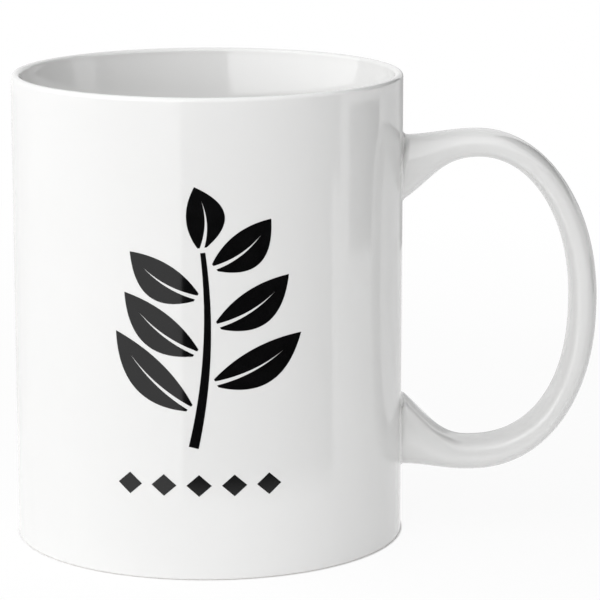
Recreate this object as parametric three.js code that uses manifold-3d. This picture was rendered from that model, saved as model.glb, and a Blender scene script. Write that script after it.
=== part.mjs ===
// A straight-sided ceramic mug: a cast cup, a strap handle luted to it with slip, and a leaf
// print in black enamel on the glaze. Millimetres, +Z up. The mug stands on Z = 0, its handle
// points along +X, its print faces -Y, and X = 0 is half-way across the cup and the handle.
import * as THREE from "three";
import { mergeVertices } from "three/addons/utils/BufferGeometryUtils.js";
import Module from "manifold-3d";

const wasm = await Module();
wasm.setup();

// Cup body
const CUP_DIAMETER = 80;
const CUP_HEIGHT = 96;
const WALL_THICKNESS = 4;
const LIP_THICKNESS = 3;
const LIP_TAPER_HEIGHT = 9;
const FLOOR_THICKNESS = 4.7;
const INSIDE_CORNER_RADIUS = 8;
const BASE_CORNER_RADIUS = 1;
const FOOT_RING_WIDTH = 4;
const FOOT_RING_SLOPE = 1.2;
const FOOT_RECESS_DEPTH = 1.8;

// Handle, with distances measured out from the wall and heights at its mid-plane
const HANDLE_REACH = 40.5;
const HANDLE_BELOW_RIM = 12.1;
const HANDLE_ABOVE_TABLE = 12.3;
const ARCH_TOP_DISTANCE = 15.5;
const ARCH_BOTTOM_DISTANCE = 14.2;
const THICKNESS_AT_TOP = 5.5;
const THICKNESS_AT_SIDE = 5.6;
const THICKNESS_AT_BOTTOM = 6.7;
const GRIP_DEPTH = 12;
const UPPER_FULLNESS = 2.03;
const LOWER_OUTER_FULLNESS = 2.18;
const LOWER_INNER_FULLNESS = 2.35;
const SECTION_FULLNESS = 2.4;

// Handle roots, where the arms flare into the wall
const ROOT_DEPTH = 14;
const UPPER_ROOT_HEIGHT = 14.1;
const UPPER_ROOT_DROP = 1.2;
const LOWER_ROOT_HEIGHT = 15.2;
const LOWER_ROOT_RISE = 1.1;
const ROOT_FLARE_ANGLE = THREE.MathUtils.degToRad(43);
const ARM_EASE = 6;

// Slip joints between the wall and the handle's roots
const SLIP_THICKNESS = 1;
const SLIP_MARGIN = 0.5;
const SLIP_CLEARANCE = 0.3;

// Print on the wall, measured on the unrolled wall
const PRINT_TURN = THREE.MathUtils.degToRad(3);
const PRINT_FILM = 0.2;
const PRINT_CLEARANCE = 0.1;
const STEM_LEAN = 2;
const STEM_BOW = 3.4;
const STEM_BARE_FOOT = 6;
const STEM_BARE_TIP = 4.5;
const STEM_WIDTH_FOOT = 2;
const STEM_WIDTH_TIP = 1;
const LEAF_COUNT = 6;
const LEAF_LENGTH_LOW = 21;
const LEAF_LENGTH_HIGH = 14.5;
const LEAF_LENGTH_TIP = 12;
const LEAF_WIDTH = 6.6;
const LEAF_BASE_WIDTH = 1.8;
const LEAF_BOW = 1.4;
const LEAF_SPREAD = THREE.MathUtils.degToRad(55);
const LEAF_GAP = 1;
const LEAF_SPACE = 1.8;
const MIDRIB_WIDTH = 0.9;
const MIDRIB_SHARE = 0.76;
const LOZENGE_COUNT = 5;
const LOZENGE_WIDTH = 5;
const LOZENGE_HEIGHT = 4.4;
const LOZENGE_GAP = 2;
const ROW_GAP = 5.5;

// Facets
const CUP_FACETS = 72;
const CORNER_STEPS = 3;
const ARM_STEPS = 8;
const ARCH_STEPS = 12;
const SECTION_POINTS = 20;
const LEAF_STEPS = 8;
const STEM_STEPS = 12;
const MERGE_DISTANCE = 1e-3;

// Sizes worked out from those above
const CUP_RADIUS = CUP_DIAMETER / 2;
const HANDLE_TOP = CUP_HEIGHT - HANDLE_BELOW_RIM;
const HANDLE_MIDDLE = (HANDLE_TOP + HANDLE_ABOVE_TABLE) / 2;
const UPPER_ROOT_TOP = HANDLE_TOP - UPPER_ROOT_DROP;
const LOWER_ROOT_BOTTOM = HANDLE_ABOVE_TABLE + LOWER_ROOT_RISE;
const PRINT_FACING = -Math.PI / 2 - PRINT_TURN;
const LEAF_PITCH = (LEAF_WIDTH + LEAF_BASE_WIDTH / 2 + LEAF_SPACE) / (2 * Math.sin(LEAF_SPREAD));
const STEM_HEIGHT = STEM_BARE_FOOT + (LEAF_COUNT - 1) * LEAF_PITCH + STEM_BARE_TIP;
const PRINT_HEIGHT = LOZENGE_HEIGHT + ROW_GAP + STEM_HEIGHT + LEAF_GAP + LEAF_LENGTH_TIP;
const ROW_MIDDLE = (CUP_HEIGHT - PRINT_HEIGHT + LOZENGE_HEIGHT) / 2;
const STEM_FOOT = ROW_MIDDLE + LOZENGE_HEIGHT / 2 + ROW_GAP;

// A closed geometry as a solid that can be joined and cut.
function toSolid(geometry) {
  const bare = new THREE.BufferGeometry();
  bare.setAttribute("position", geometry.getAttribute("position"));
  bare.setIndex(geometry.getIndex());
  const merged = mergeVertices(bare, MERGE_DISTANCE);
  return new wasm.Manifold(
    new wasm.Mesh({
      numProp: 3,
      vertProperties: merged.getAttribute("position").array,
      triVerts: new Uint32Array(merged.getIndex().array),
    }),
  );
}

// A cut or joined solid as a geometry again.
function toGeometry(solid) {
  const mesh = solid.getMesh();
  const geometry = new THREE.BufferGeometry();
  geometry.setAttribute("position", new THREE.BufferAttribute(mesh.vertProperties, 3));
  geometry.setIndex(new THREE.BufferAttribute(mesh.triVerts, 1));
  geometry.computeVertexNormals();
  return geometry;
}

// A profile of (radius, height) points turned about the cup's axis.
function revolve(profile) {
  return new THREE.LatheGeometry(profile, CUP_FACETS).rotateX(Math.PI / 2);
}

// A closed skin through rings of equally many points, with flat ends.
function loft(rings) {
  const count = rings[0].length;
  const last = (rings.length - 1) * count;
  const indices = [];
  for (let start = 0; start < last; start += count) {
    for (let side = 0; side < count; side++) {
      const here = start + side;
      const beside = start + ((side + 1) % count);
      indices.push(here, beside + count, beside, here, here + count, beside + count);
    }
  }
  for (let side = 1; side + 1 < count; side++) {
    indices.push(0, side, side + 1);
    indices.push(last, last + side + 1, last + side);
  }
  const geometry = new THREE.BufferGeometry().setFromPoints(rings.flat());
  geometry.setIndex(indices);
  return geometry;
}

// A point of a superellipse: fullness 2 is an ellipse, and more is squarer.
function superellipse(angle, halfWidth, halfHeight, fullness) {
  const bend = (value) => Math.sign(value) * Math.abs(value) ** (2 / fullness);
  return new THREE.Vector2(
    halfWidth * bend(Math.cos(angle)),
    halfHeight * bend(Math.sin(angle)),
  );
}

// The cup's wall, lip, inside, foot ring and recessed underside in one turned profile.
function cupBody() {
  const inside = CUP_RADIUS - WALL_THICKNESS;
  const floorTop = FOOT_RECESS_DEPTH + FLOOR_THICKNESS;
  const lipRadius = LIP_THICKNESS / 2;
  const lipMiddle = CUP_HEIGHT - lipRadius;
  const ringOutside = CUP_RADIUS - BASE_CORNER_RADIUS;
  const ringInside = ringOutside - FOOT_RING_WIDTH;
  const cornerMiddle = inside - INSIDE_CORNER_RADIUS;
  const profile = new THREE.Path();
  profile.moveTo(0, FOOT_RECESS_DEPTH);
  profile.lineTo(ringInside - FOOT_RING_SLOPE, FOOT_RECESS_DEPTH);
  profile.lineTo(ringInside, 0);
  profile.lineTo(ringOutside, 0);
  profile.absarc(ringOutside, BASE_CORNER_RADIUS, BASE_CORNER_RADIUS, -Math.PI / 2, 0, false);
  profile.lineTo(CUP_RADIUS, lipMiddle);
  profile.absarc(CUP_RADIUS - lipRadius, lipMiddle, lipRadius, 0, Math.PI, false);
  profile.lineTo(inside, CUP_HEIGHT - LIP_TAPER_HEIGHT);
  profile.lineTo(inside, floorTop + INSIDE_CORNER_RADIUS);
  profile.absarc(
    cornerMiddle, floorTop + INSIDE_CORNER_RADIUS, INSIDE_CORNER_RADIUS, 0, -Math.PI / 2, true,
  );
  profile.lineTo(0, floorTop);
  return revolve(profile.getPoints(CORNER_STEPS));
}

// One edge of the handle from its upper root to its lower root, as (distance from the wall, height).
// The arms are curves that leave the wall at a slope, and the arch is two quarters of a superellipse.
function handleEdge({ upperRoot, archTop, reach, archBottom, lowerRoot, slope, lowerFullness }) {
  const lift = ARM_EASE * Math.tan(slope);
  const upperArm = new THREE.CubicBezierCurve(
    new THREE.Vector2(0, upperRoot),
    new THREE.Vector2(ARM_EASE, upperRoot + lift),
    new THREE.Vector2(ARCH_TOP_DISTANCE - ARM_EASE, archTop),
    new THREE.Vector2(ARCH_TOP_DISTANCE, archTop),
  );
  const lowerArm = new THREE.CubicBezierCurve(
    new THREE.Vector2(ARCH_BOTTOM_DISTANCE, archBottom),
    new THREE.Vector2(ARCH_BOTTOM_DISTANCE - ARM_EASE, archBottom),
    new THREE.Vector2(ARM_EASE, lowerRoot - lift),
    new THREE.Vector2(0, lowerRoot),
  );
  const arch = [];
  for (let step = 1; step < 2 * ARCH_STEPS; step++) {
    const angle = (Math.PI / 2) * (1 - step / ARCH_STEPS);
    const upper = angle > 0;
    const start = upper ? ARCH_TOP_DISTANCE : ARCH_BOTTOM_DISTANCE;
    const halfHeight = upper ? archTop - HANDLE_MIDDLE : HANDLE_MIDDLE - archBottom;
    const fullness = upper ? UPPER_FULLNESS : lowerFullness;
    const point = superellipse(angle, reach - start, halfHeight, fullness);
    arch.push(new THREE.Vector2(start + point.x, HANDLE_MIDDLE + point.y));
  }
  return [...upperArm.getPoints(ARM_STEPS), ...arch, ...lowerArm.getPoints(ARM_STEPS)];
}

// The strap handle: rounded sections between its outer and inner edges, cut to the wall's curve.
function handle() {
  const outer = handleEdge({
    upperRoot: UPPER_ROOT_TOP,
    archTop: HANDLE_TOP,
    reach: HANDLE_REACH,
    archBottom: HANDLE_ABOVE_TABLE,
    lowerRoot: LOWER_ROOT_BOTTOM,
    slope: 0,
    lowerFullness: LOWER_OUTER_FULLNESS,
  });
  const inner = handleEdge({
    upperRoot: UPPER_ROOT_TOP - UPPER_ROOT_HEIGHT,
    archTop: HANDLE_TOP - THICKNESS_AT_TOP,
    reach: HANDLE_REACH - THICKNESS_AT_SIDE,
    archBottom: HANDLE_ABOVE_TABLE + THICKNESS_AT_BOTTOM,
    lowerRoot: LOWER_ROOT_BOTTOM + LOWER_ROOT_HEIGHT,
    slope: ROOT_FLARE_ANGLE,
    lowerFullness: LOWER_INNER_FULLNESS,
  });
  const rings = outer.map((outside, index) => {
    const middle = outside.clone().lerp(inner[index], 0.5);
    const across = outside.clone().sub(middle);
    const fromRoot = Math.min(index, outer.length - 1 - index);
    const grip = THREE.MathUtils.smoothstep(fromRoot, 0, ARM_STEPS);
    const halfDepth = THREE.MathUtils.lerp(ROOT_DEPTH, GRIP_DEPTH, grip) / 2;
    return Array.from({ length: SECTION_POINTS }, (_, side) => {
      const angle = (2 * Math.PI * side) / SECTION_POINTS;
      const point = superellipse(angle, 1, halfDepth, SECTION_FULLNESS);
      return new THREE.Vector3(
        CUP_RADIUS + middle.x + across.x * point.x,
        point.y,
        middle.y + across.y * point.x,
      );
    });
  });
  const cutRadius = CUP_RADIUS + SLIP_THICKNESS + 2 * SLIP_CLEARANCE;
  const cutter = new THREE.CylinderGeometry(cutRadius, cutRadius, 2 * CUP_HEIGHT, CUP_FACETS);
  cutter.rotateX(Math.PI / 2);
  return toGeometry(toSolid(loft(rings)).subtract(toSolid(cutter)));
}

// A patch on the cup's wall from an outline on the unrolled wall, facing an angle about Z.
function wallPatch(outline, facing, clearance, thickness) {
  const inside = CUP_RADIUS + clearance;
  const outside = inside + thickness;
  const flat = outline.map(({ x, y }) => new THREE.Vector2(inside * Math.sin(x / inside), y));
  const block = new THREE.ExtrudeGeometry(new THREE.Shape(flat), {
    depth: CUP_DIAMETER,
    bevelEnabled: false,
  });
  const facingX = new THREE.Matrix4().makeBasis(
    new THREE.Vector3(0, 1, 0),
    new THREE.Vector3(0, 0, 1),
    new THREE.Vector3(1, 0, 0),
  );
  block.applyMatrix4(facingX).rotateZ(facing);
  const shell = revolve([
    new THREE.Vector2(inside, 0),
    new THREE.Vector2(outside, 0),
    new THREE.Vector2(outside, CUP_HEIGHT),
    new THREE.Vector2(inside, CUP_HEIGHT),
    new THREE.Vector2(inside, 0),
  ]);
  return toGeometry(toSolid(block).intersect(toSolid(shell)));
}

// The slip that joins one root to the wall, a little larger than the root.
function slipJoint(rootBottom, rootHeight) {
  const halfDepth = ROOT_DEPTH / 2 + SLIP_MARGIN;
  const halfHeight = rootHeight / 2 + SLIP_MARGIN;
  const outline = Array.from({ length: SECTION_POINTS }, (_, side) => {
    const angle = (2 * Math.PI * side) / SECTION_POINTS;
    const point = superellipse(angle, halfDepth, halfHeight, SECTION_FULLNESS);
    return point.add(new THREE.Vector2(0, rootBottom + rootHeight / 2));
  });
  return wallPatch(outline, 0, SLIP_CLEARANCE, SLIP_THICKNESS);
}

// The middle line of the print's stem.
function stemLine() {
  return new THREE.QuadraticBezierCurve(
    new THREE.Vector2(-STEM_LEAN / 2, STEM_FOOT),
    new THREE.Vector2(STEM_BOW, STEM_FOOT + STEM_HEIGHT / 2),
    new THREE.Vector2(STEM_LEAN / 2, STEM_FOOT + STEM_HEIGHT),
  );
}

// The stem's width at a share of its length.
function stemWidth(share) {
  return THREE.MathUtils.lerp(STEM_WIDTH_FOOT, STEM_WIDTH_TIP, share);
}

// The tapered strip along the stem's middle line.
function stemOutline() {
  const line = stemLine();
  const left = [];
  const right = [];
  for (let step = 0; step <= STEM_STEPS; step++) {
    const share = step / STEM_STEPS;
    const middle = line.getPoint(share);
    const along = line.getTangent(share);
    const offset = new THREE.Vector2(-along.y, along.x).multiplyScalar(stemWidth(share) / 2);
    left.push(middle.clone().add(offset));
    right.unshift(middle.clone().sub(offset));
  }
  return [...left, ...right];
}

// A leaf with a bowed midrib, which is left bare for a share of its length from the base.
function leafOutline(base, along, length, bow) {
  const aside = new THREE.Vector2(-along.y, along.x);
  const place = (share, offset) =>
    base
      .clone()
      .addScaledVector(along, share * length)
      .addScaledVector(aside, 4 * bow * share * (1 - share) + offset);
  const left = [];
  const right = [];
  for (let step = 0; step < LEAF_STEPS; step++) {
    const share = step / LEAF_STEPS;
    const half = 2 * LEAF_WIDTH * share * (1 - share) + (LEAF_BASE_WIDTH / 2) * (1 - share);
    left.push(place(share, half));
    right.unshift(place(share, -half));
  }
  const midrib = [place(0, -MIDRIB_WIDTH / 2), place(MIDRIB_SHARE, 0), place(0, MIDRIB_WIDTH / 2)];
  return [...left, place(1, 0), ...right, ...midrib];
}

// The leaves that grow from the left and the right of the stem in turn, longest at its foot.
function sideLeaf(index) {
  const line = stemLine();
  const share = (STEM_BARE_FOOT + index * LEAF_PITCH) / STEM_HEIGHT;
  const side = index % 2 ? -1 : 1;
  const along = line.getTangent(share).rotateAround(new THREE.Vector2(), side * LEAF_SPREAD);
  const clear = stemWidth(share) / 2 + LEAF_GAP + LEAF_BASE_WIDTH / 2;
  const base = line.getPoint(share).addScaledVector(along, clear);
  const length = THREE.MathUtils.lerp(LEAF_LENGTH_LOW, LEAF_LENGTH_HIGH, index / (LEAF_COUNT - 1));
  return leafOutline(base, along, length, side * LEAF_BOW);
}

// The leaf that ends the stem.
function tipLeaf() {
  const along = stemLine().getTangent(1);
  const base = stemLine().getPoint(1).addScaledVector(along, LEAF_GAP);
  return leafOutline(base, along, LEAF_LENGTH_TIP, -LEAF_BOW);
}

// One lozenge of the row below the stem.
function lozengeOutline(index) {
  const step = LOZENGE_WIDTH + LOZENGE_GAP;
  const middle = (index - (LOZENGE_COUNT - 1) / 2) * step;
  return [
    new THREE.Vector2(middle - LOZENGE_WIDTH / 2, ROW_MIDDLE),
    new THREE.Vector2(middle, ROW_MIDDLE - LOZENGE_HEIGHT / 2),
    new THREE.Vector2(middle + LOZENGE_WIDTH / 2, ROW_MIDDLE),
    new THREE.Vector2(middle, ROW_MIDDLE + LOZENGE_HEIGHT / 2),
  ];
}

const mug = new THREE.Group();

// A sub-part in white glazed ceramic.
function addCeramic(name, geometry) {
  const material = new THREE.MeshStandardMaterial({ color: 0xf3f3f1, roughness: 0.12, metalness: 0 });
  const mesh = new THREE.Mesh(geometry, material);
  mesh.name = name;
  mug.add(mesh);
}

// An island of the print in black enamel.
function addPrint(name, outline) {
  const geometry = wallPatch(outline, PRINT_FACING, PRINT_CLEARANCE, PRINT_FILM);
  const material = new THREE.MeshStandardMaterial({ color: 0x0b0b0c, roughness: 0.18, metalness: 0 });
  const mesh = new THREE.Mesh(geometry, material);
  mesh.name = name;
  mug.add(mesh);
}

addCeramic("cup_body", cupBody());
addCeramic("handle", handle());
addCeramic("upper_slip_joint", slipJoint(UPPER_ROOT_TOP - UPPER_ROOT_HEIGHT, UPPER_ROOT_HEIGHT));
addCeramic("lower_slip_joint", slipJoint(LOWER_ROOT_BOTTOM, LOWER_ROOT_HEIGHT));

addPrint("print_stem", stemOutline());
addPrint("print_leaf_tip", tipLeaf());
for (let index = 0; index < LEAF_COUNT; index++) {
  addPrint(`print_leaf_${index + 1}`, sideLeaf(index));
}
for (let index = 0; index < LOZENGE_COUNT; index++) {
  addPrint(`print_lozenge_${index + 1}`, lozengeOutline(index));
}

mug.position.x = -HANDLE_REACH / 2;

export default mug;
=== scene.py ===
"""A glazed ceramic mug with a strap handle and a black leaf print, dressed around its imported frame.

Metres, +Z up. The meshes are drawn round the cup's axis and moved to it, so a piece's own
coordinates start on the table, at the middle of the cup.
"""

import math

import bmesh
import bpy
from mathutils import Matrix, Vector


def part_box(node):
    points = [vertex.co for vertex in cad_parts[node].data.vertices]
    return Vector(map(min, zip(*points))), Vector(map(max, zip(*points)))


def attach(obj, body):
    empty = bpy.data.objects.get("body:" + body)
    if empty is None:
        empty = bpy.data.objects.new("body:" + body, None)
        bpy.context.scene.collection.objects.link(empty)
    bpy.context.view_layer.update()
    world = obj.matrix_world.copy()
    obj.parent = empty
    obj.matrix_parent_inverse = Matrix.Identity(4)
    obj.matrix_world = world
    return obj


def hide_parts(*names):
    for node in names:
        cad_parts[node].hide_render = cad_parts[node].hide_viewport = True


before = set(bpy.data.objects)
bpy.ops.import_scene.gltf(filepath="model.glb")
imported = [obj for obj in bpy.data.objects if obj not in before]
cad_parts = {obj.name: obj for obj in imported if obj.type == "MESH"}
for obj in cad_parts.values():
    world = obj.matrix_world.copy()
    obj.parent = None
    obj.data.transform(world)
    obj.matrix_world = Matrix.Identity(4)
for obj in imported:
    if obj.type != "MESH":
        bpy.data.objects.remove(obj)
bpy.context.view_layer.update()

MM = 0.001

# Sizes taken from the frame
cup_low, cup_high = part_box("cup_body")
handle_low, handle_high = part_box("handle")
CUP_RADIUS = (cup_high.x - cup_low.x) / 2
CUP_HEIGHT = cup_high.z
AXIS_X = (cup_low.x + cup_high.x) / 2
HANDLE_REACH = handle_high.x - cup_high.x
HANDLE_TOP = handle_high.z
HANDLE_BOTTOM = handle_low.z
HANDLE_MIDDLE = (HANDLE_TOP + HANDLE_BOTTOM) / 2

# Cup
WALL_THICKNESS = 4.2 * MM
LIP_THICKNESS = 1.8 * MM
LIP_TAPER_HEIGHT = 18 * MM
FLOOR_THICKNESS = 4.7 * MM
INSIDE_CORNER_RADIUS = 8 * MM
BASE_CORNER_RADIUS = 0.45 * MM
FOOT_RING_WIDTH = 4.5 * MM
FOOT_RING_SLOPE = 1.2 * MM
FOOT_RECESS_DEPTH = 1.8 * MM
GLAZE_LINE = 0.12 * MM

# Handle, with distances measured out from the wall
ARCH_TOP_DISTANCE = 15.5 * MM
ARCH_BOTTOM_DISTANCE = 14.2 * MM
THICKNESS_AT_TOP = 5.5 * MM
THICKNESS_AT_SIDE = 5.6 * MM
THICKNESS_AT_BOTTOM = 6.5 * MM
GRIP_DEPTH = 12 * MM
ROOT_DEPTH = 14 * MM
UPPER_ROOT_HEIGHT = 13.2 * MM
UPPER_ROOT_DROP = 1.2 * MM
LOWER_ROOT_HEIGHT = 15 * MM
LOWER_ROOT_RISE = 1.1 * MM
UPPER_FLARE_ANGLE = math.radians(35)
LOWER_FLARE_ANGLE = math.radians(43)
ARM_EASE = 6 * MM
UPPER_INNER_EASE = 7.8 * MM
UPPER_FULLNESS = 2.03
LOWER_OUTER_FULLNESS = 2.18
LOWER_INNER_FULLNESS = 2.35
OUTER_SECTION_FULLNESS = 2.2
UPPER_INNER_SECTION_FULLNESS = 2.8
ARCH_INNER_SECTION_FULLNESS = 3.2
LOWER_INNER_SECTION_FULLNESS = 5
ROOT_SINK = 1.6 * MM
END_ROUND_DEPTH = 1.6 * MM
END_ROUND_LENGTH = 1.1 * MM
END_ROUND_REACH = 0.3
END_ROUND_GAP = 0.7
GROOVE_WIDTH = 0.5 * MM

# Slip squeezed out round the handle's roots
FILLET_HEIGHT = 0.2 * MM
FILLET_LENGTH = 0.4 * MM
TOP_FILLET_HEIGHT = 0.9 * MM
TOP_FILLET_LENGTH = 2.6 * MM
TOP_FILLET_NARROWING = 6
BEAD_LENGTH = 0.35 * MM
BEAD_HEIGHT = 0.18 * MM
SLIP_LENGTH = 2.7 * MM
SLIP_TUCK = 0.08 * MM
SLIP_SINK = 0.3 * MM

# Print, measured on the unrolled wall
PRINT_FACING = math.radians(-93)
PRINT_LIFT = 0.04 * MM
PRINT_SINK = 0.04 * MM
STEM_LEAN = 2 * MM
STEM_BOW = 3.4 * MM
STEM_BARE_FOOT = 6 * MM
STEM_BARE_TIP = 4.5 * MM
STEM_WIDTH_FOOT = 2 * MM
STEM_WIDTH_TIP = 1 * MM
LEAF_COUNT = 6
LEAF_LENGTH_LOW = 21 * MM
LEAF_LENGTH_HIGH = 14.5 * MM
LEAF_LENGTH_TIP = 12 * MM
LEAF_WIDTH = 6.6 * MM
LEAF_BASE_WIDTH = 1.8 * MM
LEAF_BOW = 1.4 * MM
LEAF_SPREAD = math.radians(55)
LEAF_GAP = 1 * MM
LEAF_SPACE = 1.8 * MM
MIDRIB_WIDTH = 0.9 * MM
MIDRIB_SHARE = 0.76
LOZENGE_COUNT = 5
LOZENGE_WIDTH = 5 * MM
LOZENGE_HEIGHT = 4.4 * MM
LOZENGE_GAP = 2 * MM
ROW_GAP = 5.5 * MM

# Finish, where a pair of values is what a noise runs between
NOISE_SPAN = (0.3, 0.7)
RIPPLE_SIZE = 14 * MM
RIPPLE_DEPTH = 0.02 * MM
GLAZE_COLOURS = ((0.885, 0.885, 0.878, 1), (0.91, 0.91, 0.904, 1))
GLAZE_CLOUD_SIZE = 30 * MM
GLAZE_ROUGHNESS = (0.06, 0.1)
GLAZE_PATCH_SIZE = 5 * MM
GLAZE_IOR = 1.58
GLAZE_GRAIN_SIZE = 1.5 * MM
GLAZE_GRAIN_DEPTH = 0.0006 * MM
GLAZE_LINE_END = 1.3 * GLAZE_LINE
GLAZE_LINE_WAVE_SIZE = 4 * MM
GLAZE_LINE_WAVE_HEIGHT = 0.06 * MM
CLAY_COLOURS = ((0.66, 0.64, 0.6, 1), (0.76, 0.74, 0.7, 1))
CLAY_ROUGHNESS = (0.75, 0.9)
CLAY_GRAIN_SIZE = 0.6 * MM
ENAMEL_COLOURS = ((0.002, 0.002, 0.0022, 1), (0.006, 0.006, 0.0064, 1))
ENAMEL_CLOUD_SIZE = 3 * MM
ENAMEL_ROUGHNESS = (0.06, 0.12)
ENAMEL_PATCH_SIZE = 2 * MM
ENAMEL_IOR = 1.5
ENAMEL_GRAIN_SIZE = 1 * MM
ENAMEL_GRAIN_DEPTH = 0.001 * MM

# Mesh steps
CUP_SEGMENTS = 240
WALL_STEPS = 40
CORNER_STEPS = 16
ARM_STEPS = 24
END_STEPS = 36
END_ZONE = 3 * MM
ARCH_STEPS = 48
SECTION_POINTS = 64
SLIP_STEPS = 20
LEAF_STEPS = 40
LEAF_COLUMNS = 5
STEM_STEPS = 48
STEM_COLUMNS = 3
LOZENGE_STEPS = 8
SHARP_ANGLE = math.radians(50)
MERGE_DISTANCE = 0.001 * MM

# Camera, as fitted to the rim, the base and the sides of the cup in a picture 600 pixels wide
PICTURE_WIDTH = 600
FOCAL_PIXELS = 3100
CAMERA_DISTANCE = 629 * MM
CAMERA_HEIGHT = 178.7 * MM
CAMERA_PITCH = math.radians(11.716)
CAMERA_YAW = math.radians(1.724)
SENSOR_WIDTH = 36

# Studio, with angles in degrees and azimuths measured from the camera's side
SKY_LEVEL = 0.29
LAMP_DISTANCE = 1.0
KEY_LAMP = {"azimuth": -65, "elevation": 35, "width": 2.2, "height": 1.0, "level": 0.97}
FRONT_LAMP = {"azimuth": 45, "elevation": 18, "width": 1.2, "height": 0.6, "level": 0.22}
TOP_LAMP = {"azimuth": -20, "elevation": 80, "width": 1.2, "height": 1.2, "level": 0.28}
FLOOR_RADIUS = 1.5
FLOOR_SIDES = 128
FLOOR_COLOUR = (0.9, 0.9, 0.9, 1)
FLOOR_GLOW = 0.09
FLOOR_WHITE_NEAR = 0.92
FLOOR_WHITE_FAR = 1.0
FLOOR_FADE_START = 0.12
FLOOR_FADE_END = 0.4
CONTACT_LINE_WIDTH = 0.5 * MM
CARD_LIFT = 0.5 * MM
CARD_STEPS = 12
CARD_FADE_START = 85 * MM
CARD_FADE_END = 125 * MM
FRONT_CARD_REACH = 0.9
FRONT_CARD_NEAR_EDGE = (-12, 61)
FRONT_CARD_FAR_EDGE = (-15, 75)
RIGHT_CARD_DISTANCE = 0.36
RIGHT_CARD_HEIGHT = 0.05
RIGHT_CARD_EDGE = (86, 114)
HANDLE_CARD_LOW = 0.12
HANDLE_CARD_HIGH = 0.5
HANDLE_CARD_EDGE = (100, 150)
SHADE_CARD_DISTANCE = 0.22
SHADE_CARD_HEIGHT = 0.35
SHADE_CARD_EDGE = (70, 150)
UPPER_CARD_DISTANCE = 0.5
UPPER_CARD_HIGH = 0.32
UPPER_CARD_EDGE = (-14, 80)
BACK_CARD_REACH = 0.7
BACK_CARD_EDGE = (125, 235)
BACK_CARD_LEVEL = 0.9
FAR_CARD_LIFT = 2 * CARD_LIFT
FAR_CARD_NEAR = 0.32
FAR_CARD_REACH = 0.9
FAR_CARD_HEIGHT = 0.12
FAR_CARD_EDGE = (150, 176)
FAR_CARD_LEVEL = 0.55


# Curves

def arc(middle, radius, start, end):
    """Points (x, y) of an arc between two angles in degrees."""
    points = []
    for step in range(CORNER_STEPS + 1):
        angle = math.radians(start + (end - start) * step / CORNER_STEPS)
        points.append((middle[0] + radius * math.cos(angle), middle[1] + radius * math.sin(angle)))
    return points


def line(start, end, steps):
    """Points along a straight line, without its ends."""
    return [Vector(start).lerp(Vector(end), step / steps).to_tuple() for step in range(1, steps)]


def smoothstep(share):
    share = min(max(share, 0), 1)
    return share * share * (3 - 2 * share)


def bezier(points, share):
    """A point of a Bezier curve of any degree."""
    while len(points) > 1:
        points = [a.lerp(b, share) for a, b in zip(points, points[1:])]
    return points[0]


def superellipse(angle, half_width, half_height, fullness):
    """A point of a superellipse: fullness 2 is an ellipse, and more is squarer."""
    def bend(value):
        return math.copysign(abs(value) ** (2 / fullness), value)
    return Vector((half_width * bend(math.cos(angle)), half_height * bend(math.sin(angle))))


# Pieces

def add_piece(name, vertices, faces, material, slot, *nodes):
    """A smooth closed mesh on the cup's axis that stands for CAD nodes."""
    mesh = bpy.data.meshes.new(name)
    mesh.from_pydata(vertices, [], faces)
    shape = bmesh.new()
    shape.from_mesh(mesh)
    bmesh.ops.remove_doubles(shape, verts=shape.verts, dist=MERGE_DISTANCE)
    bmesh.ops.recalc_face_normals(shape, faces=shape.faces)
    for face in shape.faces:
        face.smooth = True
    shape.to_mesh(mesh)
    shape.free()
    mesh.set_sharp_from_angle(angle=SHARP_ANGLE)
    mesh.materials.append(material)
    piece = bpy.data.objects.new(name, mesh)
    piece.location.x = AXIS_X
    bpy.context.scene.collection.objects.link(piece)
    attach(piece, "root")
    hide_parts(*nodes)


def ring_faces(ring_count, point_count, closed):
    """Quads between neighbouring rings of points. A closed run of rings ends where it starts."""
    faces = []
    for ring in range(ring_count if closed else ring_count - 1):
        here = ring * point_count
        there = (ring + 1) % ring_count * point_count
        for side in range(point_count):
            beside = (side + 1) % point_count
            faces.append((here + side, here + beside, there + beside, there + side))
    return faces


# Cup

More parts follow.
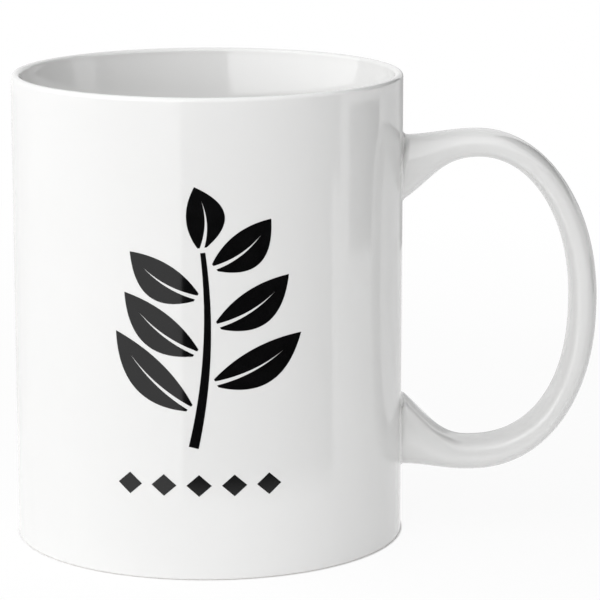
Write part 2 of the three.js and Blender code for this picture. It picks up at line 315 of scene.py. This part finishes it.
def cup_profile():
    """(radius, height) points from the middle of the underside, over the lip, to the inside floor."""
    inside = CUP_RADIUS - WALL_THICKNESS
    floor_top = FOOT_RECESS_DEPTH + FLOOR_THICKNESS
    lip_radius = LIP_THICKNESS / 2
    lip_middle = CUP_HEIGHT - lip_radius
    taper_bottom = CUP_HEIGHT - LIP_TAPER_HEIGHT
    ring_outside = CUP_RADIUS - BASE_CORNER_RADIUS
    ring_inside = ring_outside - FOOT_RING_WIDTH
    corner_height = floor_top + INSIDE_CORNER_RADIUS
    points = [(0, FOOT_RECESS_DEPTH)]
    points += line(points[-1], (ring_inside - FOOT_RING_SLOPE, FOOT_RECESS_DEPTH), CORNER_STEPS)
    for step in range(CORNER_STEPS + 1):
        share = step / CORNER_STEPS
        radius = ring_inside - FOOT_RING_SLOPE * (1 - share)
        points.append((radius, FOOT_RECESS_DEPTH * (1 - smoothstep(share))))
    points += line(points[-1], (ring_outside, 0), CORNER_STEPS)
    points += arc((ring_outside, BASE_CORNER_RADIUS), BASE_CORNER_RADIUS, -90, 0)
    points += line(points[-1], (CUP_RADIUS, lip_middle), WALL_STEPS)
    points += arc((CUP_RADIUS - lip_radius, lip_middle), lip_radius, 0, 180)
    for step in range(1, CORNER_STEPS + 1):
        share = step / CORNER_STEPS
        radius = inside + (CUP_RADIUS - LIP_THICKNESS - inside) * (1 - share) ** 2
        points.append((radius, lip_middle + (taper_bottom - lip_middle) * share))
    points += line(points[-1], (inside, corner_height), WALL_STEPS)
    points += arc((inside - INSIDE_CORNER_RADIUS, corner_height), INSIDE_CORNER_RADIUS, 0, -90)
    points += line(points[-1], (0, floor_top), CORNER_STEPS)
    return points + [(0, floor_top)]


def add_cup(material):
    """The cup, turned about its axis. Its first and last rings close up at the axis."""
    profile = cup_profile()
    vertices = []
    for radius, height in profile:
        for segment in range(CUP_SEGMENTS):
            angle = 2 * math.pi * segment / CUP_SEGMENTS
            vertices.append((radius * math.cos(angle), radius * math.sin(angle), height))
    faces = ring_faces(len(profile), CUP_SEGMENTS, closed=False)
    add_piece("mug_cup", vertices, faces, material, "white_glaze", "cup_body")


# Handle

class HandleEdge:
    """One edge of the handle at its mid-plane, as (distance from the wall, height) points."""

    def __init__(self, upper_root, upper_flare, upper_ease, arch_top, reach,
                 arch_bottom, lower_fullness, lower_flare, lower_root):
        self.arch_top = arch_top
        self.reach = reach
        self.arch_bottom = arch_bottom
        self.lower_fullness = lower_fullness
        self.upper_arm = [
            Vector((0, upper_root)),
            Vector((ARM_EASE, upper_root + ARM_EASE * math.tan(upper_flare))),
            Vector((ARCH_TOP_DISTANCE - upper_ease, arch_top)),
            Vector((ARCH_TOP_DISTANCE, arch_top)),
        ]
        self.lower_arm = [
            Vector((0, lower_root)),
            Vector((ARM_EASE, lower_root - ARM_EASE * math.tan(lower_flare))),
            Vector((ARCH_BOTTOM_DISTANCE - ARM_EASE, arch_bottom)),
            Vector((ARCH_BOTTOM_DISTANCE, arch_bottom)),
        ]

    def arm(self, upper, share):
        """A point of an arm, from 0 at the wall to 1 where the arch starts."""
        return bezier(self.upper_arm if upper else self.lower_arm, share)

    def arch(self, angle):
        """A point of the arch, from a quarter turn at its top to minus a quarter turn at its bottom."""
        if angle > 0:
            start = ARCH_TOP_DISTANCE
            height = self.arch_top - HANDLE_MIDDLE
            fullness = UPPER_FULLNESS
        else:
            start = ARCH_BOTTOM_DISTANCE
            height = HANDLE_MIDDLE - self.arch_bottom
            fullness = self.lower_fullness
        offset = superellipse(angle, self.reach - start, height, fullness)
        return Vector((start, HANDLE_MIDDLE)) + offset


UPPER_ROOT_TOP = HANDLE_TOP - UPPER_ROOT_DROP
LOWER_ROOT_BOTTOM = HANDLE_BOTTOM + LOWER_ROOT_RISE
OUTER_EDGE = HandleEdge(
    upper_root=UPPER_ROOT_TOP,
    upper_flare=0,
    upper_ease=ARM_EASE,
    arch_top=HANDLE_TOP,
    reach=HANDLE_REACH,
    arch_bottom=HANDLE_BOTTOM,
    lower_fullness=LOWER_OUTER_FULLNESS,
    lower_flare=0,
    lower_root=LOWER_ROOT_BOTTOM,
)
INNER_EDGE = HandleEdge(
    upper_root=UPPER_ROOT_TOP - UPPER_ROOT_HEIGHT,
    upper_flare=UPPER_FLARE_ANGLE,
    upper_ease=UPPER_INNER_EASE,
    arch_top=HANDLE_TOP - THICKNESS_AT_TOP,
    reach=HANDLE_REACH - THICKNESS_AT_SIDE,
    arch_bottom=HANDLE_BOTTOM + THICKNESS_AT_BOTTOM,
    lower_fullness=LOWER_INNER_FULLNESS,
    lower_flare=LOWER_FLARE_ANGLE,
    lower_root=LOWER_ROOT_BOTTOM + LOWER_ROOT_HEIGHT,
)
# Distance gained per share where an arm starts: three times the first leg of its cubic curve
ARM_SPEED = 3 * ARM_EASE
ANGLE_STEP = 2 * math.pi / SECTION_POINTS
SECTION_ANGLES = [ANGLE_STEP * side for side in range(SECTION_POINTS)]


def section_point(outer, inner, depth, angle, inner_fullness):
    """A point of the handle's section between its outer and inner edge, rounder on its outer side."""
    fullness = OUTER_SECTION_FULLNESS if math.cos(angle) > 0 else inner_fullness
    point = superellipse(angle, 1, depth / 2, fullness)
    middle = (outer + inner) / 2
    across = (outer - inner) / 2
    return Vector((CUP_RADIUS + middle.x + across.x * point.x, point.y, middle.y + across.y * point.x))


def arm_point(upper, share, angle):
    """A point on an arm's skin before its end is rounded. A share below 0 lies inside the wall."""
    depth = ROOT_DEPTH + (GRIP_DEPTH - ROOT_DEPTH) * smoothstep(share)
    if upper:
        fullness = UPPER_INNER_SECTION_FULLNESS
    else:
        change = ARCH_INNER_SECTION_FULLNESS - LOWER_INNER_SECTION_FULLNESS
        fullness = LOWER_INNER_SECTION_FULLNESS + change * smoothstep(share)
    outer = OUTER_EDGE.arm(upper, share)
    inner = INNER_EDGE.arm(upper, share)
    return section_point(outer, inner, depth, angle, fullness)


def arch_point(turn, angle):
    """A point on the arch's skin. The inner side gets squarer from the arch's top to its bottom."""
    squarer = smoothstep(0.5 - turn / math.pi)
    change = ARCH_INNER_SECTION_FULLNESS - UPPER_INNER_SECTION_FULLNESS
    fullness = UPPER_INNER_SECTION_FULLNESS + change * squarer
    return section_point(OUTER_EDGE.arch(turn), INNER_EDGE.arch(turn), GRIP_DEPTH, angle, fullness)


def outward(upper, share, angle):
    """The direction straight out of an arm's skin, square to X."""
    ahead = arm_point(upper, share, angle + ANGLE_STEP / 2)
    behind = arm_point(upper, share, angle - ANGLE_STEP / 2)
    side = Vector((0, behind.z - ahead.z, ahead.y - behind.y)).normalized()
    return side if upper else -side


def wall_depth(across):
    """How far the wall has curved back from its tangent at the handle's mid-plane."""
    return CUP_RADIUS - math.sqrt(CUP_RADIUS**2 - across**2)


def end_rounding(upper, angle, distance):
    """How far an arm's skin draws in near the wall, which is most at its two top corners."""
    upward = math.cos(angle) if upper else -math.cos(angle)
    sideways = smoothstep(abs(math.sin(angle)) / END_ROUND_GAP)
    depth = END_ROUND_DEPTH * sideways * max(0, upward + END_ROUND_REACH)
    closeness = min(max(1 - (distance - GROOVE_WIDTH) / END_ROUND_LENGTH, 0), 1)
    return depth * (1 - math.sqrt(1 - closeness**2))


def arm_skin(upper, share, angle):
    """A point on an arm's skin, with the arm's end rounded."""
    point = arm_point(upper, share, angle)
    distance = point.x - CUP_RADIUS + wall_depth(point.y)
    return point - outward(upper, share, angle) * end_rounding(upper, angle, distance)


def arm_shares():
    """Shares along an arm, from inside the wall to the arch, with finer steps near the wall."""
    shares = []
    for step in range(END_STEPS):
        distance = (END_ZONE + ROOT_SINK) * step / END_STEPS - ROOT_SINK
        shares.append(distance / ARM_SPEED)
    first_share = END_ZONE / ARM_SPEED
    for step in range(ARM_STEPS + 1):
        shares.append(first_share + (1 - first_share) * step / ARM_STEPS)
    return shares


def add_handle(material):
    """The strap handle, lofted from inside the wall at one root to inside the wall at the other."""
    shares = arm_shares()
    arch_angles = [math.pi / 2 * (1 - step / ARCH_STEPS) for step in range(1, 2 * ARCH_STEPS)]
    vertices = []
    for share in shares:
        vertices += [arm_skin(True, share, angle) for angle in SECTION_ANGLES]
    for turn in arch_angles:
        vertices += [arch_point(turn, angle) for angle in SECTION_ANGLES]
    for share in reversed(shares):
        vertices += [arm_skin(False, share, angle) for angle in SECTION_ANGLES]
    ring_count = 2 * len(shares) + len(arch_angles)
    faces = ring_faces(ring_count, SECTION_POINTS, closed=False)
    faces.append(tuple(range(SECTION_POINTS)))
    faces.append(tuple(range(len(vertices) - SECTION_POINTS, len(vertices))))
    add_piece("mug_handle", vertices, faces, material, "white_glaze", "handle")


# Slip joints

def fillet_rise(upper, angle, distance):
    """Height of the slip's fillet: long and high on top of the upper root, and small elsewhere."""
    widening = max(0, math.cos(angle)) ** TOP_FILLET_NARROWING if upper else 0
    height = FILLET_HEIGHT + (TOP_FILLET_HEIGHT - FILLET_HEIGHT) * widening
    length = FILLET_LENGTH + (TOP_FILLET_LENGTH - FILLET_LENGTH) * widening
    return height * max(0, 1 - math.sqrt(distance / length)) ** 2


def slip_ring(upper, angle):
    """A loop across the slip: out of the skin, over a fillet and bead to the wall, and back inside."""
    start = -wall_depth(arm_point(upper, 0, angle).y)
    over = []
    under = []
    for step in range(SLIP_STEPS + 1):
        distance = SLIP_LENGTH * (1 - step / SLIP_STEPS) ** 2
        share = (start + distance) / ARM_SPEED
        skin = arm_skin(upper, share, angle)
        side = outward(upper, share, angle)
        bead = BEAD_HEIGHT * math.sqrt(max(0, 1 - (distance / BEAD_LENGTH) ** 2))
        tuck = SLIP_TUCK * smoothstep(distance / SLIP_LENGTH)
        over.append(skin + side * (fillet_rise(upper, angle, distance) + bead - tuck))
        under.append(skin - side * (tuck + SLIP_SINK * step / SLIP_STEPS))
    over[-1].x = min(over[-1].x, CUP_RADIUS - wall_depth(over[-1].y) - SLIP_TUCK)
    return over + under[:0:-1]


def add_slip_joint(name, upper, material):
    """The slip that was squeezed out round a root and wiped smooth."""
    rings = [slip_ring(upper, angle) for angle in SECTION_ANGLES]
    vertices = [point for ring in rings for point in ring]
    faces = ring_faces(len(rings), len(rings[0]), closed=True)
    add_piece("mug_" + name, vertices, faces, material, "white_glaze", name)


# Print

LEAF_PITCH = (LEAF_WIDTH + LEAF_BASE_WIDTH / 2 + LEAF_SPACE) / (2 * math.sin(LEAF_SPREAD))
STEM_HEIGHT = STEM_BARE_FOOT + (LEAF_COUNT - 1) * LEAF_PITCH + STEM_BARE_TIP
PRINT_HEIGHT = LOZENGE_HEIGHT + ROW_GAP + STEM_HEIGHT + LEAF_GAP + LEAF_LENGTH_TIP
ROW_MIDDLE = (CUP_HEIGHT - PRINT_HEIGHT + LOZENGE_HEIGHT) / 2
STEM_FOOT = ROW_MIDDLE + LOZENGE_HEIGHT / 2 + ROW_GAP
STEM_LINE = [
    Vector((-STEM_LEAN / 2, STEM_FOOT)),
    Vector((STEM_BOW, STEM_FOOT + STEM_HEIGHT / 2)),
    Vector((STEM_LEAN / 2, STEM_FOOT + STEM_HEIGHT)),
]


def on_wall(point, lift):
    """A point of the unrolled wall, a lift out from the glaze."""
    angle = PRINT_FACING + point.x / CUP_RADIUS
    radius = CUP_RADIUS + lift
    return Vector((radius * math.cos(angle), radius * math.sin(angle), point.y))


def add_film(name, strips, material):
    """An island of the print: a film over strips of points, each strip a list of equally long rows."""
    flat = bmesh.new()
    for rows in strips:
        grid = [[flat.verts.new((point.x, point.y, 0)) for point in row] for row in rows]
        for row, next_row in zip(grid, grid[1:]):
            for side in range(len(row) - 1):
                flat.faces.new((row[side], row[side + 1], next_row[side + 1], next_row[side]))
    bmesh.ops.remove_doubles(flat, verts=flat.verts, dist=MERGE_DISTANCE)
    bmesh.ops.recalc_face_normals(flat, faces=flat.faces)
    flat.verts.index_update()
    count = len(flat.verts)
    vertices = [on_wall(vertex.co, PRINT_LIFT) for vertex in flat.verts]
    vertices += [on_wall(vertex.co, -PRINT_SINK) for vertex in flat.verts]
    faces = []
    for face in flat.faces:
        corners = [vertex.index for vertex in face.verts]
        faces.append(corners)
        faces.append([count + corner for corner in reversed(corners)])
    for edge in flat.edges:
        if edge.is_boundary:
            start, end = (vertex.index for vertex in edge.verts)
            faces.append((start, end, count + end, count + start))
    flat.free()
    add_piece("mug_" + name, vertices, faces, material, "black_enamel", name)


def between(start, end, steps):
    """Points from start to end with both ends."""
    return [start.lerp(end, step / steps) for step in range(steps + 1)]


def stem_tangent(share):
    ends = [end - start for start, end in zip(STEM_LINE, STEM_LINE[1:])]
    return bezier(ends, share).normalized()


def stem_width(share):
    return STEM_WIDTH_FOOT + (STEM_WIDTH_TIP - STEM_WIDTH_FOOT) * share


def add_stem(material):
    """The tapered strip along the stem's middle line."""
    rows = []
    for step in range(STEM_STEPS + 1):
        share = step / STEM_STEPS
        offset = stem_tangent(share).orthogonal() * stem_width(share) / 2
        middle = bezier(STEM_LINE, share)
        rows.append(between(middle - offset, middle + offset, STEM_COLUMNS))
    add_film("print_stem", [rows], material)


def add_leaf(name, base, along, length, bow, material):
    """A leaf in two halves along a bowed midrib, which is left bare for a share of its length."""
    aside = along.orthogonal()
    halves = []
    for side in (-1, 1):
        rows = []
        for step in range(LEAF_STEPS + 1):
            share = step / LEAF_STEPS
            half_width = 2 * LEAF_WIDTH * share * (1 - share) + LEAF_BASE_WIDTH / 2 * (1 - share)
            bare = MIDRIB_WIDTH / 2 * max(0, 1 - share / MIDRIB_SHARE)
            middle = base + along * share * length + aside * 4 * bow * share * (1 - share)
            sideways = aside * side
            rows.append(between(middle + sideways * bare, middle + sideways * half_width, LEAF_COLUMNS))
        halves.append(rows)
    add_film(name, halves, material)


def add_side_leaf(index, material):
    """A leaf that grows from the left or the right of the stem, longest at its foot."""
    share = (STEM_BARE_FOOT + index * LEAF_PITCH) / STEM_HEIGHT
    side = -1 if index % 2 else 1
    turn = side * LEAF_SPREAD
    tangent = stem_tangent(share)
    along = Vector((
        tangent.x * math.cos(turn) - tangent.y * math.sin(turn),
        tangent.x * math.sin(turn) + tangent.y * math.cos(turn),
    ))
    clear = stem_width(share) / 2 + LEAF_GAP + LEAF_BASE_WIDTH / 2
    base = bezier(STEM_LINE, share) + along * clear
    length = LEAF_LENGTH_LOW + (LEAF_LENGTH_HIGH - LEAF_LENGTH_LOW) * index / (LEAF_COUNT - 1)
    add_leaf(f"print_leaf_{index + 1}", base, along, length, side * LEAF_BOW, material)


def add_tip_leaf(material):
    along = stem_tangent(1)
    base = STEM_LINE[-1] + along * LEAF_GAP
    add_leaf("print_leaf_tip", base, along, LEAF_LENGTH_TIP, -LEAF_BOW, material)


def add_lozenge(index, material):
    """One lozenge of the row below the stem."""
    middle = (index - (LOZENGE_COUNT - 1) / 2) * (LOZENGE_WIDTH + LOZENGE_GAP)
    left = Vector((middle - LOZENGE_WIDTH / 2, ROW_MIDDLE))
    right = Vector((middle + LOZENGE_WIDTH / 2, ROW_MIDDLE))
    top = Vector((middle, ROW_MIDDLE + LOZENGE_HEIGHT / 2))
    bottom = Vector((middle, ROW_MIDDLE - LOZENGE_HEIGHT / 2))
    rows = [
        between(low, high, LOZENGE_STEPS)
        for low, high in zip(between(bottom, right, LOZENGE_STEPS), between(left, top, LOZENGE_STEPS))
    ]
    add_film(f"print_lozenge_{index + 1}", [rows], material)


# Shader nodes

def combine(tree, operation, values):
    """One number from several, by a maths node's operation."""
    total = values[0]
    for value in values[1:]:
        node = tree.nodes.new("ShaderNodeMath")
        node.operation = operation
        tree.links.new(total, node.inputs[0])
        tree.links.new(value, node.inputs[1])
        total = node.outputs["Value"]
    return total


def moved_range(tree, value, low, high, to_low, to_high):
    """A node that moves a value from one range to another, and keeps it inside that one."""
    node = tree.nodes.new("ShaderNodeMapRange")
    tree.links.new(value, node.inputs["Value"])
    names = ("From Min", "From Max", "To Min", "To Max")
    for name, number in zip(names, (low, high, to_low, to_high)):
        node.inputs[name].default_value = number
    return node


def mix_shaders(tree, share, first, second):
    """A node that mixes two shaders. A share of 1 gives the second."""
    node = tree.nodes.new("ShaderNodeMixShader")
    tree.links.new(share, node.inputs["Fac"])
    tree.links.new(first.outputs[0], node.inputs[1])
    tree.links.new(second.outputs[0], node.inputs[2])
    return node


# Materials

class Surface:
    """A principled material with short calls for the nodes that vary it."""

    def __init__(self, name):
        self.material = bpy.data.materials.new(name)
        self.material.use_nodes = True
        self.tree = self.material.node_tree
        self.shader = self.tree.nodes["Principled BSDF"]
        self.place = self.tree.nodes.new("ShaderNodeTexCoord").outputs["Object"]

    def noise(self, size, detail):
        """Noise between 0 and 1 with features of a size in metres."""
        node = self.tree.nodes.new("ShaderNodeTexNoise")
        self.tree.links.new(self.place, node.inputs["Vector"])
        node.inputs["Scale"].default_value = 1 / size
        node.inputs["Detail"].default_value = detail
        return node.outputs["Fac"]

    def span(self, value, low, high, to_low=0, to_high=1):
        """A value moved from one range to another, and kept inside it."""
        return moved_range(self.tree, value, low, high, to_low, to_high).outputs["Result"]

    def height(self):
        """Height above the table."""
        node = self.tree.nodes.new("ShaderNodeSeparateXYZ")
        self.tree.links.new(self.place, node.inputs["Vector"])
        return node.outputs["Z"]

    def mix(self, share, first, second, kind="RGBA"):
        """A mix of two colours or numbers, each a value or another node's output."""
        node = self.tree.nodes.new("ShaderNodeMix")
        node.data_type = kind
        self.tree.links.new(share, node.inputs["Factor"])
        sockets = [socket for socket in node.inputs if socket.name in ("A", "B") and socket.enabled]
        for socket, value in zip(sockets, (first, second)):
            if isinstance(value, bpy.types.NodeSocket):
                self.tree.links.new(value, socket)
            else:
                socket.default_value = value
        return next(socket for socket in node.outputs if socket.enabled)

    def bump(self, height, depth, under=None):
        """Relief of a depth in metres, over another relief."""
        node = self.tree.nodes.new("ShaderNodeBump")
        node.inputs["Distance"].default_value = depth
        self.tree.links.new(height, node.inputs["Height"])
        if under:
            self.tree.links.new(under, node.inputs["Normal"])
        return node.outputs["Normal"]

    def relief(self, size, detail, depth):
        """A broad ripple with a finer relief on it."""
        ripple = self.bump(self.noise(RIPPLE_SIZE, detail=1), RIPPLE_DEPTH)
        return self.bump(self.noise(size, detail), depth, ripple)

    def set(self, name, value):
        """Gives one of the shader's inputs a value or another node's output."""
        if isinstance(value, bpy.types.NodeSocket):
            self.tree.links.new(value, self.shader.inputs[name])
        else:
            self.shader.inputs[name].default_value = value


def glaze_material():
    """White gloss glaze with a faint cloud and ripple, and the bare clay of the foot ring."""
    surface = Surface("white_glaze")
    glaze_colour = surface.mix(surface.noise(GLAZE_CLOUD_SIZE, detail=2), *GLAZE_COLOURS)
    grain = surface.noise(CLAY_GRAIN_SIZE, detail=4)
    clay_colour = surface.mix(grain, *CLAY_COLOURS)
    wave = surface.noise(GLAZE_LINE_WAVE_SIZE, detail=2)
    shift = surface.span(wave, 0, 1, -GLAZE_LINE_WAVE_HEIGHT, GLAZE_LINE_WAVE_HEIGHT)
    edge = combine(surface.tree, "ADD", [surface.height(), shift])
    glazed = surface.span(edge, GLAZE_LINE, GLAZE_LINE_END)
    surface.set("Base Color", surface.mix(glazed, clay_colour, glaze_colour))
    gloss = surface.span(surface.noise(GLAZE_PATCH_SIZE, detail=3), *NOISE_SPAN, *GLAZE_ROUGHNESS)
    matte = surface.span(grain, *NOISE_SPAN, *CLAY_ROUGHNESS)
    surface.set("Roughness", surface.mix(glazed, matte, gloss, "FLOAT"))
    surface.set("IOR", GLAZE_IOR)
    surface.set("Normal", surface.relief(GLAZE_GRAIN_SIZE, detail=2, depth=GLAZE_GRAIN_DEPTH))
    return surface.material


def enamel_material():
    """Gloss black enamel with faint unevenness where it was fired."""
    surface = Surface("black_enamel")
    surface.set("Base Color", surface.mix(surface.noise(ENAMEL_CLOUD_SIZE, detail=3), *ENAMEL_COLOURS))
    gloss = surface.span(surface.noise(ENAMEL_PATCH_SIZE, detail=3), *NOISE_SPAN, *ENAMEL_ROUGHNESS)
    surface.set("Roughness", gloss)
    surface.set("IOR", ENAMEL_IOR)
    surface.set("Normal", surface.relief(ENAMEL_GRAIN_SIZE, detail=3, depth=ENAMEL_GRAIN_DEPTH))
    return surface.material


# Studio

def seen_directly(tree):
    """1 for rays from the camera and for those that gloss or glass sends on, and 0 for stray light."""
    path = tree.nodes.new("ShaderNodeLightPath")
    names = ("Is Camera Ray", "Is Glossy Ray", "Is Transmission Ray")
    return combine(tree, "MAXIMUM", [path.outputs[name] for name in names])


def add_world():
    """An even sky that lights the mug, and a white one behind it."""
    world = bpy.data.worlds.new("studio")
    world.use_nodes = True
    tree = world.node_tree
    sky = tree.nodes["Background"]
    sky.inputs["Color"].default_value = (1, 1, 1, 1)
    sky.inputs["Strength"].default_value = SKY_LEVEL
    white = tree.nodes.new("ShaderNodeBackground")
    white.inputs["Color"].default_value = (1, 1, 1, 1)
    mix = mix_shaders(tree, seen_directly(tree), sky, white)
    tree.links.new(mix.outputs[0], tree.nodes["World Output"].inputs["Surface"])
    bpy.context.scene.world = world


def fade(tree, start, end, near, far):
    """A number that changes smoothly with the distance from the object's origin."""
    place = tree.nodes.new("ShaderNodeTexCoord")
    distance = tree.nodes.new("ShaderNodeVectorMath")
    distance.operation = "LENGTH"
    tree.links.new(place.outputs["Object"], distance.inputs[0])
    node = moved_range(tree, distance.outputs["Value"], start, end, near, far)
    node.interpolation_type = "SMOOTHSTEP"
    return node.outputs["Result"]


def bare_material(name):
    """A material that holds only its output."""
    material = bpy.data.materials.new(name)
    material.use_nodes = True
    material.node_tree.nodes.remove(material.node_tree.nodes["Principled BSDF"])
    return material


def floor_material():
    """A pale floor, seen as it is at the cup's edge, nearly white beyond that and white far off."""
    material = bare_material("floor")
    tree = material.node_tree
    matte = tree.nodes.new("ShaderNodeBsdfDiffuse")
    matte.inputs["Color"].default_value = FLOOR_COLOUR
    glow = tree.nodes.new("ShaderNodeEmission")
    glow.inputs["Strength"].default_value = FLOOR_GLOW
    lit = tree.nodes.new("ShaderNodeAddShader")
    tree.links.new(matte.outputs[0], lit.inputs[0])
    tree.links.new(glow.outputs[0], lit.inputs[1])
    white = tree.nodes.new("ShaderNodeEmission")
    whiteness = fade(tree, FLOOR_FADE_START, FLOOR_FADE_END, FLOOR_WHITE_NEAR, FLOOR_WHITE_FAR)
    clear = fade(tree, CUP_RADIUS, CUP_RADIUS + CONTACT_LINE_WIDTH, 0, 1)
    share = combine(tree, "MULTIPLY", [seen_directly(tree), whiteness, clear])
    mix = mix_shaders(tree, share, lit, white)
    tree.links.new(mix.outputs[0], tree.nodes["Material Output"].inputs["Surface"])
    return material


def add_floor():
    bpy.ops.mesh.primitive_circle_add(vertices=FLOOR_SIDES, radius=FLOOR_RADIUS, fill_type="NGON")
    floor = bpy.context.object
    floor.name = "floor"
    floor.location.x = AXIS_X
    floor.data.materials.append(floor_material())


def compass(azimuth, distance, height):
    """A point round the cup's axis. Azimuth 0 is the camera's side, and 90 is the handle's."""
    turn = math.radians(azimuth)
    return Vector((distance * math.sin(turn), -distance * math.cos(turn), height))


def add_softbox(name, azimuth, elevation, width, height, level):
    """A rectangular lamp aimed at the mug. Its level is the light that it gives a surface facing it."""
    lamp = bpy.data.lights.new(name, "AREA")
    lamp.shape = "RECTANGLE"
    lamp.size = width
    lamp.size_y = height
    lamp.energy = level * (math.pi * LAMP_DISTANCE) ** 2
    aim = Vector((AXIS_X, 0, CUP_HEIGHT / 2))
    tilt = math.radians(elevation)
    back = compass(azimuth, math.cos(tilt), math.sin(tilt))
    box = bpy.data.objects.new(name, lamp)
    box.location = aim + back * LAMP_DISTANCE
    box.rotation_euler = back.to_track_quat("Z", "Y").to_euler()
    bpy.context.scene.collection.objects.link(box)


def add_card(name, rows, near=0, level=0, shades=False):
    """A card that shows in the mug's gloss, with one brightness near the mug and another far off.

    A card that shades keeps light off the mug instead, and doesn't show in its gloss.
    """
    material = bare_material(name)
    tree = material.node_tree
    face = tree.nodes.new("ShaderNodeEmission")
    tree.links.new(fade(tree, CARD_FADE_START, CARD_FADE_END, near, level), face.inputs["Strength"])
    tree.links.new(face.outputs[0], tree.nodes["Material Output"].inputs["Surface"])
    width = len(rows[0])
    faces = []
    for row in range(len(rows) - 1):
        for side in range(width - 1):
            corner = row * width + side
            faces.append((corner, corner + 1, corner + width + 1, corner + width))
    mesh = bpy.data.meshes.new(name)
    mesh.from_pydata([point for row in rows for point in row], [], faces)
    mesh.materials.append(material)
    card = bpy.data.objects.new(name, mesh)
    card.location.x = AXIS_X
    card.visible_camera = False
    card.visible_glossy = not shades
    card.visible_diffuse = shades
    card.visible_shadow = shades
    bpy.context.scene.collection.objects.link(card)


def card_row(edge, distance, height):
    """Points of a card round the cup's axis, between two azimuths."""
    turns = [edge[0] + (edge[1] - edge[0]) * step / CARD_STEPS for step in range(CARD_STEPS + 1)]
    return [compass(azimuth, distance, height) for azimuth in turns]


def add_cards():
    """Cards on the floor before and behind the mug, standing or hanging round it, and one for shade."""
    add_card("front_card", [
        card_row(FRONT_CARD_NEAR_EDGE, CARD_FADE_START, CARD_LIFT),
        card_row(FRONT_CARD_FAR_EDGE, FRONT_CARD_REACH, CARD_LIFT),
    ], near=1)
    add_card("back_card", [
        card_row(BACK_CARD_EDGE, CARD_FADE_START, CARD_LIFT),
        card_row(BACK_CARD_EDGE, BACK_CARD_REACH, CARD_LIFT),
    ], near=1, level=BACK_CARD_LEVEL)
    add_card("far_card", [
        card_row(FAR_CARD_EDGE, FAR_CARD_NEAR, FAR_CARD_LIFT),
        card_row(FAR_CARD_EDGE, FAR_CARD_REACH, FAR_CARD_LIFT),
        card_row(FAR_CARD_EDGE, FAR_CARD_REACH, FAR_CARD_HEIGHT),
    ], level=FAR_CARD_LEVEL)
    add_card("right_card", [
        card_row(RIGHT_CARD_EDGE, RIGHT_CARD_DISTANCE, CARD_LIFT),
        card_row(RIGHT_CARD_EDGE, RIGHT_CARD_DISTANCE, RIGHT_CARD_HEIGHT),
    ])
    add_card("handle_card", [
        card_row(HANDLE_CARD_EDGE, RIGHT_CARD_DISTANCE, HANDLE_CARD_LOW),
        card_row(HANDLE_CARD_EDGE, RIGHT_CARD_DISTANCE, HANDLE_CARD_HIGH),
    ])
    add_card("shade_card", [
        card_row(SHADE_CARD_EDGE, SHADE_CARD_DISTANCE, CARD_LIFT),
        card_row(SHADE_CARD_EDGE, SHADE_CARD_DISTANCE, SHADE_CARD_HEIGHT),
    ], shades=True)
    add_card("upper_card", [
        card_row(UPPER_CARD_EDGE, UPPER_CARD_DISTANCE, CARD_LIFT),
        card_row(UPPER_CARD_EDGE, UPPER_CARD_DISTANCE, UPPER_CARD_HIGH),
    ])


def add_camera():
    """The camera stands before the cup's axis, looks down on it and turns a little to the handle."""
    lens = bpy.data.cameras.new("camera")
    lens.sensor_width = SENSOR_WIDTH
    lens.lens = SENSOR_WIDTH * FOCAL_PIXELS / PICTURE_WIDTH
    camera = bpy.data.objects.new("camera", lens)
    camera.location = (AXIS_X, -CAMERA_DISTANCE, CAMERA_HEIGHT)
    camera.rotation_euler = (math.pi / 2 - CAMERA_PITCH, 0, -CAMERA_YAW)
    bpy.context.scene.collection.objects.link(camera)
    bpy.context.scene.camera = camera


glaze = glaze_material()
enamel = enamel_material()
add_cup(glaze)
add_handle(glaze)
add_slip_joint("upper_slip_joint", True, glaze)
add_slip_joint("lower_slip_joint", False, glaze)
add_stem(enamel)
add_tip_leaf(enamel)
for leaf_index in range(LEAF_COUNT):
    add_side_leaf(leaf_index, enamel)
for lozenge_index in range(LOZENGE_COUNT):
    add_lozenge(lozenge_index, enamel)

add_world()
add_floor()
add_cards()
add_softbox("key", **KEY_LAMP)
add_softbox("front", **FRONT_LAMP)
add_softbox("top", **TOP_LAMP)
add_camera()
bpy.context.scene.view_settings.view_transform = "Standard"
